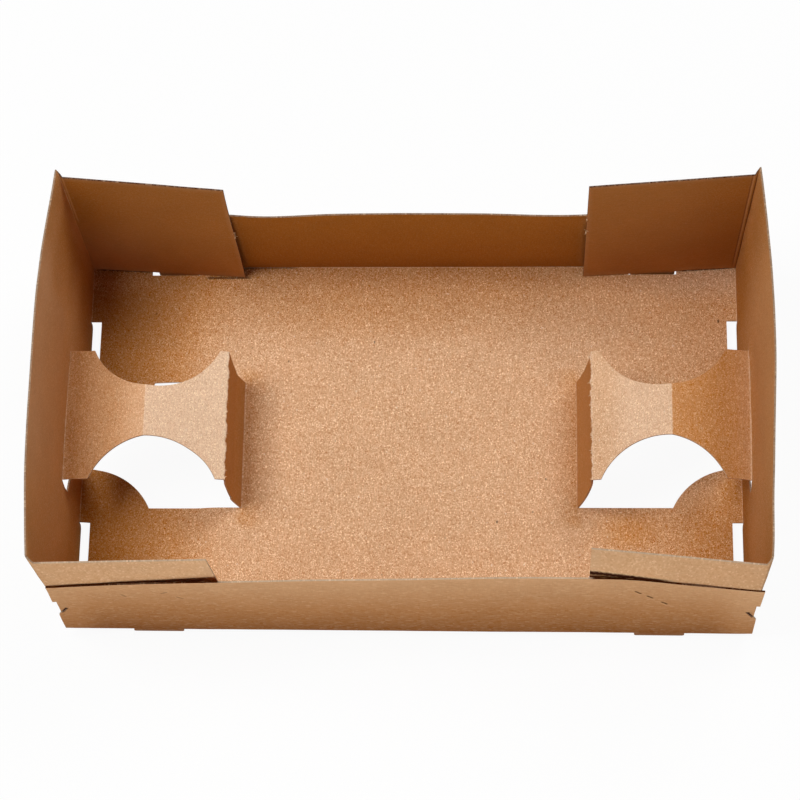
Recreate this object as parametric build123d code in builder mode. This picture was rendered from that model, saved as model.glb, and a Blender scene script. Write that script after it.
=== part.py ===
from build123d import *
import math
import os

# A pop-up carry tray folded from one die-cut kraft board sheet.
# X runs along the tray, Y across it, Z up. The origin is under the middle of the tray, on the
# surface that its side lugs stand on. Heights in the values below are above the floor's top.

# The sheet
board = 0.8
fold_radius = 0.4

# Floor, between the inner faces of the walls at their creases
floor_length = 317.0
floor_width = 187.4

# Side walls, left and right
side_height = 110.8
side_lean = 3.2
side_bow = 4.2

# Corner flaps, folded in from the ends of the side walls
corner_gap = 0.3
corner_spread = 0.8
corner_radius = 0.5
flap_length = 74.9
flap_turn_foot = 4.3
flap_turn_top = 6.0
flap_free_lean = 0.8
flap_corner_drop = 9.3
flap_free_rise = 0.5
relief_width = 2.2

# Long walls, front and back
long_end_height = 66.2
long_middle_height = 68.0
long_end_spread = 0.3
long_bow = 4.1
long_foot_overhang = 2.5
long_top_overhang = 3.4
hook_height = 23.0
hook_slit_height = 27.0
hook_slit_rise = 7.9
hook_slit_run = 3.3
hook_slit_gap = 1.0
hook_slit_bend = 0.9
hook_neck_overhang = 1.1
hook_head_height = 43.8
hook_head_taper = 0.5

# Slots beside the side creases, and the lugs that they leave on the side walls
side_slot_inner = 39.6
side_slot_length = 25.0
side_slot_width = 5.14
side_lug_bevel = 1.5

# Slots beside the long creases, their lugs, and the flaps' foot tabs in them
long_slot_inner = 106.0
long_slot_length = 23.4
long_slot_width = 4.2
long_lug_drop = 2.8
foot_tab_clearance = 0.8
foot_tab_drop = 3.4
small_bevel = 0.8

# Cup shelves: a strip cut out of the floor and side wall, and popped up
riser_foot = 80.66
riser_top_shift = 4.94
riser_bulge = 1.46
shelf_height = 39.3
strip_half_width = 32.2
waist_half_width = 12.5
waist_radius = 32.8
waist_offset = 3.0

# Places worked out from the sizes
floor_under = side_slot_width
floor_top = floor_under + board
floor_middle = floor_top - board / 2
wall_start = floor_top + fold_radius
side_face = floor_length / 2
long_face = floor_width / 2
side_top = floor_top + side_height
flap_corner_top = side_top - flap_corner_drop
corner_foot = long_face - corner_gap - board
corner_top = corner_foot + corner_spread
flap_end_foot = side_face - flap_length
flap_end_top = flap_end_foot + flap_free_lean
side_corner_top = side_face + side_lean
waist_centre = waist_half_width + waist_radius
outside = 2 * board
side_slot_middle = side_slot_inner + side_slot_length / 2
long_slot_middle = long_slot_inner + long_slot_length / 2
side_slot_places = [(x, y) for x in (-side_face, side_face) for y in (-side_slot_middle, side_slot_middle)]
long_slot_places = [(x, y) for x in (-long_slot_middle, long_slot_middle) for y in (-long_face, long_face)]

# Side panel, right: the wall and its two corner flaps are one bent band, standing on the side crease
with BuildPart() as side_panel:
    # The band is lofted from its straight foot to its bowed top edge, outer shape less inner shape
    for grow, run_on, band_mode in ((board, 0, Mode.ADD), (0, outside, Mode.SUBTRACT)):
        for height, corner_x, corner_y, bow, end_x, turn in (
            (wall_start, side_face, corner_foot, 0, flap_end_foot, flap_turn_foot),
            (side_top, side_corner_top, corner_top, side_bow, flap_end_top, flap_turn_top),
        ):
            slope = turn / (corner_x - end_x)
            corner = (corner_x + grow, corner_y + grow + slope * grow)
            flap_end = (end_x - run_on, corner_y + grow - turn - slope * run_on)
            with BuildSketch(Plane.XY.offset(height)) as room:
                with BuildLine():
                    Line((flap_end[0], -flap_end[1]), (corner[0], -corner[1]))
                    if bow:
                        ThreePointArc((corner[0], -corner[1]), (corner[0] + bow, 0), corner)
                    else:
                        Line((corner[0], -corner[1]), corner)
                    Line(corner, flap_end)
                    Line(flap_end, (flap_end[0], -flap_end[1]))
                make_face()
                fillet(room.vertices().sort_by(Axis.X)[-2:], corner_radius + grow)
        loft(ruled=True, mode=band_mode)

    # Flap tops, with the slanted relief up to the wall's top corner
    relief_x = side_corner_top - side_lean * flap_corner_drop / side_height - relief_width
    with BuildSketch(Plane.XZ):
        with BuildLine():
            Polyline(
                (flap_end_foot - outside, flap_corner_top + flap_free_rise),
                (relief_x, flap_corner_top),
                (side_corner_top, side_top),
                (side_corner_top, side_top + outside),
                (flap_end_foot - outside, side_top + outside),
                close=True,
            )
        make_face()
    extrude(amount=floor_width, both=True, mode=Mode.SUBTRACT)

    # Foot tab under each flap, which drops into the slot beside the long crease
    tab_near = long_slot_inner + foot_tab_clearance
    tab_far = long_slot_inner + long_slot_length - foot_tab_clearance
    foot_slope = flap_turn_foot / flap_length
    tab_near_y = corner_foot - foot_slope * (side_face - tab_near)
    tab_far_y = corner_foot - foot_slope * (side_face - tab_far)
    for side in (-1, 1):
        with BuildSketch(Plane.XY.offset(wall_start)):
            with BuildLine():
                Polyline(
                    (tab_near, side * tab_near_y),
                    (tab_far, side * tab_far_y),
                    (tab_far, side * (tab_far_y + board)),
                    (tab_near, side * (tab_near_y + board)),
                    close=True,
                )
            make_face()
        extrude(amount=-(fold_radius + foot_tab_drop))
        chamfer(side_panel.edges(Select.LAST).filter_by(Axis.Y).group_by(Axis.Z)[0], small_bevel)

    # Rounded crease from the floor up to the wall
    crease_half = corner_foot - corner_radius - board
    with BuildSketch(Plane.XZ):
        with BuildLine():
            crease = JernArc((side_face - fold_radius, floor_middle), (1, 0), fold_radius + board / 2, 90)
        trace(crease, line_width=board)
    extrude(amount=crease_half, both=True)

    # Side slots, and the lug that each cut leaves hanging from the wall
    for side in (-1, 1):
        with BuildSketch(Plane.XY.offset(wall_start)):
            with Locations((side_face, side * side_slot_middle)):
                Rectangle(side_slot_width, side_slot_length, align=(Align.MAX, Align.CENTER))
        extrude(amount=-(fold_radius + outside), mode=Mode.SUBTRACT)
        with BuildSketch(Plane.XY.offset(wall_start)):
            with Locations((side_face, side * side_slot_middle)):
                Rectangle(board, side_slot_length, align=(Align.MIN, Align.CENTER))
        extrude(amount=-wall_start)
        lug_ends = side_panel.edges(Select.LAST).filter_by(Axis.X).group_by(Axis.Z)[0].sort_by(Axis.Y)
        chamfer(lug_ends[-1], side_lug_bevel)

    # Cut-out that the shelf's outer half leaves in the crease and the wall
    with BuildSketch(Plane.XY.offset(wall_start)):
        with Locations((side_face + outside, 0)):
            Rectangle(2 * outside, 2 * strip_half_width, align=(Align.MAX, Align.CENTER))
        with Locations((side_face - waist_offset, waist_centre), (side_face - waist_offset, -waist_centre)):
            Circle(waist_radius, mode=Mode.SUBTRACT)
    extrude(amount=-(fold_radius + outside), mode=Mode.SUBTRACT)
    with BuildSketch(Plane.YZ.offset(side_face - outside)):
        with Locations((0, floor_top)):
            Rectangle(2 * strip_half_width, shelf_height - board / 2, align=(Align.CENTER, Align.MIN))
        with Locations((waist_centre, floor_top - waist_offset), (-waist_centre, floor_top - waist_offset)):
            Circle(waist_radius, mode=Mode.SUBTRACT)
    extrude(amount=side_lean + side_bow + 2 * outside, mode=Mode.SUBTRACT)

# Cup shelf, right: a strip of the sheet, popped up into riser, folded shelf and back to the wall
riser_x = riser_foot + board / 2
riser_top_x = riser_x + riser_top_shift
shelf_wall_x = side_face + (side_lean + side_bow) * shelf_height / side_height + board / 2
strip_length = side_face - riser_foot + shelf_height
riser_chord = math.hypot(riser_top_shift, shelf_height)
riser_length = riser_chord + 8 * riser_bulge**2 / (3 * riser_chord)
outer_shelf = shelf_height
inner_shelf = strip_length - riser_length - outer_shelf
shelf_span = shelf_wall_x - riser_top_x
ridge_run = (shelf_span**2 + inner_shelf**2 - outer_shelf**2) / (2 * shelf_span)
ridge_rise = math.sqrt(inner_shelf**2 - ridge_run**2)
shelf_z = floor_top + shelf_height
with BuildPart() as cup_shelf:
    with BuildSketch(Plane.XZ):
        with BuildLine() as strip_path:
            Line((riser_x - outside, floor_middle), (riser_x, floor_middle))
            SagittaArc((riser_x, floor_middle), (riser_top_x, shelf_z), -riser_bulge)
            Line((riser_top_x, shelf_z), (riser_top_x + ridge_run, shelf_z + ridge_rise))
            Line((riser_top_x + ridge_run, shelf_z + ridge_rise), (shelf_wall_x, shelf_z))
            fillet(strip_path.vertices(), fold_radius + board / 2)
        trace(line_width=board)
    extrude(amount=strip_half_width, both=True)

    # The waist: arcs of the flat sheet, seen from above once the shelf stands at its slope
    shelf_slope = ridge_run / inner_shelf
    waist_x = riser_top_x + ridge_run - waist_offset * shelf_slope
    with BuildSketch(Plane.XY.offset(shelf_z - outside)):
        with Locations((waist_x, waist_centre), (waist_x, -waist_centre)):
            Ellipse(waist_radius * shelf_slope, waist_radius)
    extrude(amount=ridge_rise + 2 * outside, mode=Mode.SUBTRACT)

# Long wall, back: straight at its foot, bowed inward at its top, with hooked ends
with BuildPart() as long_wall:
    wall_reach = side_face + long_top_overhang
    wall_middle_z = floor_top + long_middle_height
    with BuildSketch(Plane.XY.offset(wall_start)):
        with Locations((0, long_face)):
            Rectangle(2 * wall_reach, board, align=(Align.CENTER, Align.MIN))
    with BuildSketch(Plane.XY.offset(wall_middle_z)):
        with BuildLine():
            top_y = long_face + long_end_spread
            ThreePointArc((-wall_reach, top_y), (0, top_y - long_bow), (wall_reach, top_y))
            Line((wall_reach, top_y), (wall_reach, top_y + board))
            ThreePointArc(
                (wall_reach, top_y + board), (0, top_y + board - long_bow), (-wall_reach, top_y + board)
            )
            Line((-wall_reach, top_y + board), (-wall_reach, top_y))
        make_face()
    loft(ruled=True)

    # Outline seen from the front: low ears, a slanted slit, neck and head at each end, crowned top
    ear_x = side_face + long_foot_overhang
    neck_x = side_face + hook_neck_overhang
    slit_z = floor_top + hook_slit_height
    slit_tip = (neck_x - hook_slit_run, slit_z + hook_slit_rise)
    with BuildSketch(Plane.XZ):
        with BuildLine():
            Polyline((0, wall_start), (ear_x, wall_start), (ear_x, floor_top + hook_height), (neck_x, slit_z))
            SagittaArc((neck_x, slit_z), slit_tip, hook_slit_bend)
            SagittaArc(slit_tip, (neck_x, slit_z + hook_slit_gap), -hook_slit_bend)
            Polyline(
                (neck_x, slit_z + hook_slit_gap),
                (neck_x, floor_top + hook_head_height),
                (wall_reach - hook_head_taper, floor_top + hook_head_height),
                (wall_reach, floor_top + long_end_height),
            )
            crown = (long_middle_height - long_end_height) / 4
            SagittaArc((wall_reach, floor_top + long_end_height), (0, wall_middle_z), -crown)
            Line((0, wall_middle_z), (0, wall_start))
        make_face()
        mirror(about=Plane.YZ)
    extrude(amount=floor_width, both=True, mode=Mode.INTERSECT)

    # Rounded crease from the floor up to the wall
    with BuildSketch(Plane.YZ):
        with BuildLine():
            crease = JernArc((long_face - fold_radius, floor_middle), (1, 0), fold_radius + board / 2, 90)
        trace(crease, line_width=board)
    extrude(amount=side_face - fold_radius, both=True)

    # Slots beside the crease, and the short lug that each cut leaves hanging from the wall
    for side in (-1, 1):
        with BuildSketch(Plane.XY.offset(wall_start)):
            with Locations((side * long_slot_middle, long_face)):
                Rectangle(long_slot_length, long_slot_width, align=(Align.CENTER, Align.MAX))
        extrude(amount=-(fold_radius + outside), mode=Mode.SUBTRACT)
        with BuildSketch(Plane.XY.offset(wall_start)):
            with Locations((side * long_slot_middle, long_face)):
                Rectangle(long_slot_length, board, align=(Align.CENTER, Align.MIN))
        extrude(amount=-(fold_radius + board + long_lug_drop))
        chamfer(long_wall.edges(Select.LAST).filter_by(Axis.Y).group_by(Axis.Z)[0], small_bevel)

# Floor, with the cut-outs that the strips leave in it and the slots beside its creases
with BuildPart() as floor:
    with BuildSketch(Plane.XY.offset(floor_under)) as floor_outline:
        Rectangle(floor_length - 2 * fold_radius, floor_width - 2 * fold_radius)
        for side in (-1, 1):
            with BuildSketch(mode=Mode.SUBTRACT):
                with Locations((side * (riser_x + side_face) / 2, 0)):
                    Rectangle(side_face - riser_x, 2 * strip_half_width)
                waist_floor_x = side * (side_face - waist_offset)
                with Locations((waist_floor_x, waist_centre), (waist_floor_x, -waist_centre)):
                    Circle(waist_radius, mode=Mode.SUBTRACT)
        with Locations(*side_slot_places):
            Rectangle(2 * side_slot_width, side_slot_length, mode=Mode.SUBTRACT)
        with Locations(*long_slot_places):
            Rectangle(long_slot_length, 2 * long_slot_width, mode=Mode.SUBTRACT)
    extrude(amount=board)

# The whole sheet: the floor, then the panels and shelves folded up from it
with BuildPart() as tray_sheet:
    add(floor.part)
    add(side_panel.part)
    add(side_panel.part.mirror(Plane.YZ))
    add(long_wall.part)
    add(long_wall.part.mirror(Plane.XZ))
    add(cup_shelf.part)
    add(cup_shelf.part.mirror(Plane.YZ))

tray_sheet.part.label = "tray_sheet"
os.makedirs("parts", exist_ok=True)
export_step(tray_sheet.part, "parts/tray_sheet.step")
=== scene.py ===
import math

import bmesh
import bpy
import numpy as np
from mathutils import Matrix, Vector, noise
from mathutils.geometry import delaunay_2d_cdt


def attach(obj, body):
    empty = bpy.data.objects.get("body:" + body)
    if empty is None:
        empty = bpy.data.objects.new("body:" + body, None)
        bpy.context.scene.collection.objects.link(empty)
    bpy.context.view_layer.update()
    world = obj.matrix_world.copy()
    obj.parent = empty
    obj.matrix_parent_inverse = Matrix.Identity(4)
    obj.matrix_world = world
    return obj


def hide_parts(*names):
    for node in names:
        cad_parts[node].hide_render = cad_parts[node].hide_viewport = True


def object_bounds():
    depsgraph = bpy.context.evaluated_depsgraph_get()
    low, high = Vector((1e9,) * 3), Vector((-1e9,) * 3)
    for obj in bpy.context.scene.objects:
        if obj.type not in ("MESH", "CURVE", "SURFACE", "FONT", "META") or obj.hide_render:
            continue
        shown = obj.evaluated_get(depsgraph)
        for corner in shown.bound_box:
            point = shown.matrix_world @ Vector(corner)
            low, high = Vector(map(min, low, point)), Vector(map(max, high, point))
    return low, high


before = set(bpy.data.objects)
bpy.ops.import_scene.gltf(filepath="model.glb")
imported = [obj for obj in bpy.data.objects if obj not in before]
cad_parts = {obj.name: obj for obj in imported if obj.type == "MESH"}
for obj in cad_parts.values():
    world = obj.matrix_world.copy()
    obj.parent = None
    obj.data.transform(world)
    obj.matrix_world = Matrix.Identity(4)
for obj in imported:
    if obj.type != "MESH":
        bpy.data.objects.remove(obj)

cad_low, cad_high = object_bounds()


# The camera looks down on the open tray from in front of it, about two thirds of the way up from
# level, through a long lens, so that the walls hardly spread.
def put_in(name, data):
    """Adds an object to the scene."""
    made = bpy.data.objects.new(name, data)
    bpy.context.scene.collection.objects.link(made)
    return made


camera_right = Vector((0.99909189, 0.01524785, -0.03978557))
camera_up = Vector((0.00036340, 0.93068835, 0.36581287))
camera_back = Vector((0.04260582, -0.36549513, 0.92983765))
camera_place = Vector((0.0526285, -0.476474, 1.276986))
camera = put_in("camera", bpy.data.cameras.new("camera"))
camera.matrix_world = Matrix(
    [(camera_right[i], camera_up[i], camera_back[i], camera_place[i]) for i in range(3)] + [(0, 0, 0, 1)]
)
camera.data.sensor_width = 36
camera.data.lens = 126.722
camera.data.clip_start = 0.1
camera.data.clip_end = 10
bpy.context.scene.camera = camera

# The tray is one die-cut sheet of 0.8 mm kraft board. It is cut here as the flat blank, panel by
# panel, in millimetres with the floor's middle at (0, 0), then each panel is folded up at its
# creases, welded to its neighbours, and given the board's thickness.
board = 0.8
bend = 0.8                      # radius of the board's middle at a crease
bend_run = bend * math.pi / 2   # length of blank that a square crease takes
floor_z = 5.54
wall_foot_z = floor_z + bend
floor_end = 158.1
floor_side = 93.3
grid = 4.0                      # distance between the points that a panel bends at
arc_step = 3.0                  # degrees between the points of a die-cut arc
cut_margin = 0.5                # breadth of the strip that keeps a cut edge's colour to itself


def along(points, step=grid):
    """Points along straight lines, no further apart than the step."""
    out = [points[0]]
    for a, b in zip(points, points[1:]):
        n = max(1, math.ceil(math.dist(a, b) / step - 1e-6))
        out += [(a[0] + (b[0] - a[0]) * i / n, a[1] + (b[1] - a[1]) * i / n) for i in range(1, n + 1)]
    return out


def arc(centre, radius, start, end):
    """Points along a die-cut arc, from one angle to another in degrees."""
    n = max(2, math.ceil(abs(end - start) / arc_step))
    angles = [math.radians(start + (end - start) * i / n) for i in range(n + 1)]
    return [(centre[0] + radius * math.cos(a), centre[1] + radius * math.sin(a)) for a in angles]


def inside(points, loop):
    """Which points lie inside a closed outline."""
    a = np.asarray(loop)
    b = np.roll(a, -1, axis=0)
    px, py = points[:, :1], points[:, 1:]
    crosses = (a[:, 1] > py) != (b[:, 1] > py)
    rise = np.where(b[:, 1] == a[:, 1], 1, b[:, 1] - a[:, 1])
    at = a[:, 0] + (py - a[:, 1]) * (b[:, 0] - a[:, 0]) / rise
    return (np.sum(crosses & (px < at), axis=1) % 2).astype(bool)


def clearance(points, loop):
    """How far each point lies from the nearest edge of an outline."""
    a = np.asarray(loop)
    d = np.roll(a, -1, axis=0) - a
    away = points[:, None, :] - a
    f = np.clip(np.sum(away * d, axis=2) / np.sum(d * d, axis=1), 0, 1)
    return np.min(np.linalg.norm(away - f[:, :, None] * d, axis=2), axis=1)


def nearest(points, others):
    """How far each point lies from the nearest of some other points."""
    return np.min(np.linalg.norm(points[:, None, :] - np.asarray(others), axis=2), axis=1)


def cut_panel(loop, columns=(), step=grid):
    """Triangles of one flat panel, with a narrow margin along its cut edges and lines of points
    along its creases."""
    loop = [p for p, q in zip(loop, loop[1:] + loop[:1]) if math.dist(p, q) > 1e-4]
    a = np.asarray(loop)
    low, high = a.min(axis=0), a.max(axis=0)
    ahead, behind = np.roll(a, -1, axis=0) - a, a - np.roll(a, 1, axis=0)
    normal = np.stack([-(ahead[:, 1] + behind[:, 1]), ahead[:, 0] + behind[:, 0]], axis=1)
    normal /= np.maximum(np.linalg.norm(normal, axis=1, keepdims=True), 1e-9)
    ring = a + normal * cut_margin
    ring = ring[inside(ring, loop)]
    ring = ring[clearance(ring, loop) > 0.7 * cut_margin]
    # The grid starts at odd shares of a step, so that none of its rows runs along an edge.
    rows = np.arange(low[0] + 0.37 * step, high[0], step), np.arange(low[1] + 0.41 * step, high[1], step)
    mesh = np.array(np.meshgrid(*rows)).T.reshape(-1, 2)
    mesh = mesh[inside(mesh, loop)]
    mesh = mesh[clearance(mesh, loop) > cut_margin + 0.4 * step]
    points, edges = list(loop), [(i, (i + 1) % len(loop)) for i in range(len(loop))]
    for column in columns:
        mesh = mesh[nearest(mesh, column) >= 0.3 * step]
        ring = ring[nearest(ring, column) > 0.15]
        first = len(points)
        points += column
        edges += [(first + i, first + i + 1) for i in range(len(column) - 1)]
    verts, _, faces, *_ = delaunay_2d_cdt([Vector(p) for p in [*points, *ring, *mesh]], edges, [], 0, 1e-4)
    flat = np.array([tuple(v) for v in verts], float)
    tris = np.array([f for f in faces if len(f) == 3])
    kept = tris[inside(flat[tris].mean(axis=1), loop)]
    e1, e2 = flat[kept[:, 1]] - flat[kept[:, 0]], flat[kept[:, 2]] - flat[kept[:, 0]]
    turned = e1[:, 0] * e2[:, 1] - e1[:, 1] * e2[:, 0] < 0
    kept[turned] = kept[turned][:, ::-1]
    return flat, kept


blank_points, folded_points, blank_faces, soft_creases, panel_marks = [], [], [], [], []


def lay_in(flat, faces, fold, mirror=(1, 1), crease=None, mark=0):
    """Adds one folded panel to the sheet, turned over to the other side where it is mirrored. The
    mark is 1 on the long walls, 2 on the side walls and their flaps, and 0 elsewhere."""
    first = sum(len(p) for p in blank_points)
    blank_points.append(flat * np.array(mirror))
    folded_points.append(fold(flat) * np.array((mirror[0], mirror[1], 1)))
    soft_creases.append(np.zeros(len(flat)) if crease is None else crease(flat))
    panel_marks.append(np.full(len(flat), mark))
    order = faces if mirror[0] * mirror[1] > 0 else faces[:, ::-1]
    blank_faces.append(order + first)


def whole_loop(half):
    """Closes an outline of which the half on one side is given."""
    return half + [(-a, b) for a, b in half[::-1]][1:-1]


# Floor of the tray: the middle panel of the sheet, with the gaps that the two cup shelves leave,
# and a slot beside each crease for the lugs and foot tabs.
shelf_half = 32.2
riser_x = 81.06
riser_top = (86.0, 45.24)
ridge = (123.142, 53.69)
shelf_end = (161.521, 45.24)
waist_x, waist_y, waist_radius = 155.5, 45.3, 32.8    # the round cut that narrows a shelf for a cup
waist_start, waist_turn, waist_far_turn = 125.43, 156.46, 23.54   # x and degrees at the waist's two ends
waist_at_crease = 85.6                                # degrees at which that cut reaches the wall's crease
notch_y = 12.64
side_slot = (39.6, 64.6, 153.36)                      # from, to, and how far in from the crease
long_slot = (106.0, 129.4, 89.5)
crease_end = 92.0
fold_pull = (0.607, 0.652, 0.5, 0.95)                 # how far each shelf fold's rounding reaches
riser_start = riser_x - fold_pull[0]

quarter_floor = along([(riser_start, 0), (riser_start, shelf_half)], 2.0)
quarter_floor += along([(riser_start, shelf_half), (waist_start, shelf_half)])[1:]
quarter_floor += arc((waist_x, waist_y), waist_radius, -waist_turn, -waist_at_crease)[1:-1]
quarter_floor += along(
    [
        (floor_end, notch_y), (floor_end, side_slot[0]), (side_slot[2], side_slot[0]), (side_slot[2], side_slot[1]),
        (floor_end, side_slot[1]), (floor_end, crease_end), (floor_end, floor_side), (long_slot[1], floor_side),
        (long_slot[1], long_slot[2]), (long_slot[0], long_slot[2]), (long_slot[0], floor_side), (0, floor_side),
    ]
)
half_floor = quarter_floor + [(-x, y) for x, y in quarter_floor[::-1]][1:]
floor_loop = half_floor + [(x, -y) for x, y in half_floor[::-1]][1:-1]


def fold_floor(flat):
    return np.column_stack([flat, np.full(len(flat), floor_z)])


lay_in(*cut_panel(floor_loop), fold_floor)

# Side walls with their corner flaps: each is one bent band that leans out and bows at its top
# edge. Its two end flaps are folded in along short rounded corners, and stand free of the floor.
wall_height = 110.4
wall_top_z = wall_foot_z + wall_height
wall_half = 92.07
corner_run = 1.465
flap_run = 74.47
band_half = wall_half + corner_run + flap_run
band_foot = ((158.9, 93.023), 0.0, (83.6, 88.7))     # corner, bow of the wall, and free end of the flap
band_top = ((162.1, 93.83), 4.2, (84.4, 87.8))
corner_pull = 0.92
notch_top_z = shelf_end[1] + fold_pull[3]            # top of the wall's cut-out, at the shelf's fold
wall_waist_z, wall_waist_middle = 33.01, 2.94        # where the round cut starts down the wall, and its middle
wall_waist_turns = (113.54, 174.05)                  # degrees at which it starts and ends
flap_end_z, flap_corner_z = 107.94, 107.44           # top of the flap, at its free end and at the corner
top_step = (94.1, 92.6)                              # runs between which the top edge rises to the wall's
tab_z = 2.54
tab_sides = (128.6, 106.8)
chamfer = 0.8


def band_plan(w, corner, bow, end):
    """Plan of the side band at one height, from the wall's middle round the corner to the flap."""
    reach, turn = np.abs(w), np.sign(w)
    corner, end = np.array(corner), np.array(end)
    wall_end = corner[1] - corner_pull
    wall_y = np.clip(reach / wall_half, 0, 1) * wall_end
    wall = np.column_stack([corner[0] + bow * (1 - (wall_y / corner[1]) ** 2), wall_y])
    start = np.array([corner[0] + bow * (1 - (wall_end / corner[1]) ** 2), wall_end])
    flap_start = corner + corner_pull * (end - corner) / np.linalg.norm(end - corner)
    q = np.clip((reach - wall_half) / corner_run, 0, 1)[:, None]
    bent = (1 - q) ** 2 * start + 2 * q * (1 - q) * corner + q**2 * flap_start
    f = np.maximum((reach - wall_half - corner_run) / flap_run, 0)[:, None]
    flap = flap_start + f * (end - flap_start)
    plan = np.where((reach <= wall_half)[:, None], wall, np.where(f > 0, flap, bent))
    plan[:, 1] *= turn
    return plan


def stand_side(w, z):
    """Where a point of the side band stands, from its run along the band and its height."""
    t = np.clip((z - wall_foot_z) / wall_height, 0, 1)[:, None]
    plan = (1 - t) * band_plan(w, *band_foot) + t * band_plan(w, *band_top)
    return np.column_stack([plan, z])


def side_height(flat):
    """Height of each point of the blank once the side wall stands."""
    return flat[:, 0] - floor_end - bend_run + wall_foot_z


def fold_side(flat):
    return stand_side(flat[:, 1], side_height(flat))


def flap_place(x):
    """The run along the band at which the flap's foot passes an x."""
    start = band_foot[0][0] - corner_pull
    return wall_half + corner_run + flap_run * (start - x) / (start - band_foot[2][0])


tab_far, tab_near = (flap_place(x) for x in tab_sides)
corner_columns = [wall_half + corner_run * i / 4 for i in range(5)]
half_band = along([(0, notch_top_z), (shelf_half, notch_top_z)], 2.0)
half_band += along([(shelf_half, notch_top_z), (shelf_half, wall_waist_z)])[1:]
half_band += arc((waist_y, wall_waist_middle), waist_radius, *wall_waist_turns)[1:-1]
half_band += along(
    [
        (notch_y, wall_foot_z), (side_slot[0], wall_foot_z), (side_slot[1], wall_foot_z), (crease_end, wall_foot_z),
        *[(w, wall_foot_z) for w in corner_columns],
        (tab_far, wall_foot_z), (tab_far, tab_z + chamfer), (tab_far + chamfer, tab_z), (tab_near - chamfer, tab_z),
        (tab_near, tab_z + chamfer), (tab_near, wall_foot_z), (band_half, wall_foot_z), (band_half, flap_end_z),
        (top_step[0], flap_corner_z), (top_step[1], wall_top_z), (0, wall_top_z),
    ]
)
band_columns = [
    along([(side * w, wall_foot_z), (side * w, wall_top_z + 2)]) for w in corner_columns for side in (-1, 1)
]


def to_blank(points):
    """Turns runs and heights on the side band into places on the blank."""
    return [(floor_end + bend_run + z - wall_foot_z, w) for w, z in points]


def soft_corner(flat):
    reach = np.abs(flat[:, 1]) - wall_half
    return np.where((reach > 0.1) & (reach < corner_run - 0.1), -1.0, 0.0)


side_flat, side_faces = cut_panel(to_blank(whole_loop(half_band)), [to_blank(c) for c in band_columns])
for side in (-1, 1):
    lay_in(side_flat, side_faces, fold_side, (side, 1), soft_corner, mark=2)

# Creases round the floor: the scored lines where the board turns up into the walls, cut away
# where the slots and the cup shelves start.
crease_rows = 4
quarters = ((1, 1), (-1, 1), (1, -1), (-1, -1))


def crease_strip(start, end):
    """A crease's narrow strip of blank: (distance round the bend, run along the crease)."""
    runs = [p[1] for p in along([(0, start), (0, end)])]
    flat = np.array([(bend_run * i / crease_rows, w) for w in runs for i in range(crease_rows + 1)])
    n = crease_rows + 1
    faces = []
    for k in range(len(runs) - 1):
        for i in range(crease_rows):
            a, b, c, d = k * n + i, k * n + i + 1, (k + 1) * n + i + 1, (k + 1) * n + i
            faces += [(a, b, c), (a, c, d)]
    return flat, np.array(faces)


def bend_up(reach):
    """Out and up along a crease's bend, from the distance round it."""
    a = reach / bend
    return bend * np.sin(a), floor_z + bend * (1 - np.cos(a))


def fold_side_crease(flat):
    out, up = bend_up(flat[:, 0] - floor_end)
    return np.column_stack([floor_end + out, flat[:, 1], up])


def fold_long_crease(flat):
    out, up = bend_up(flat[:, 1] - floor_side)
    return np.column_stack([flat[:, 0], floor_side + out, up])


def soft_bend(reach):
    return np.sin(np.clip(reach / bend_run, 0, 1) * math.pi)


for start, end in ((notch_y, side_slot[0]), (side_slot[1], crease_end)):
    flat, faces = crease_strip(start, end)
    flat = flat + np.array([floor_end, 0])
    for mirror in quarters:
        lay_in(flat, faces, fold_side_crease, mirror, lambda p: soft_bend(p[:, 0] - floor_end))

for start, end in ((0, long_slot[0]), (long_slot[1], floor_end)):
    flat, faces = crease_strip(start, end)
    flat = np.column_stack([flat[:, 1], flat[:, 0] + floor_side])
    for mirror in quarters:
        lay_in(flat, faces[:, ::-1], fold_long_crease, mirror, lambda p: soft_bend(p[:, 1] - floor_side))

# A small gusset of board stays at each corner of the floor, between the ends of its creases.
gusset = np.array(
    [
        (floor_end, crease_end), (floor_end, floor_side), (floor_end + bend_run, corner_columns[-1]),
        (floor_end + bend_run, crease_end),
    ]
)


def fold_gusset(flat):
    return np.where((flat[:, 0] < floor_end + 0.1)[:, None], fold_floor(flat), fold_side(flat))


for mirror in quarters:
    lay_in(gusset, np.array([(0, 3, 2), (0, 2, 1)]), fold_gusset, mirror)

# Long walls, front and back: lower panels with a crowned top edge that bows inward, and hooked
# ends with a slanted slit that hold the corner flaps.
long_top_z = 73.94
long_foot_y = 94.1
long_top_y = 94.4
long_bow = 4.1
long_reach = 161.9
crown = 1.8
slit_mouth, slit_tip, slit_back = (159.6, 32.94), (156.3, 40.84), (159.6, 33.94)
slit_bow = 0.9
hook_foot_x, hook_z = 161.0, (28.94, 49.74)          # the hook's end, and its steps below and above the slit
hook_step_x, hook_top_z = 161.4, 72.14


def bowed(a, b, rise):
    """Points from a to b along a shallow curve that stands off the straight line by the rise."""
    dx, dy = b[0] - a[0], b[1] - a[1]
    length = math.hypot(dx, dy)
    out = []
    for f in (i / 8 for i in range(9)):
        lift = 4 * rise * f * (1 - f) / length
        out.append((a[0] + dx * f - dy * lift, a[1] + dy * f + dx * lift))
    return out


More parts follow.
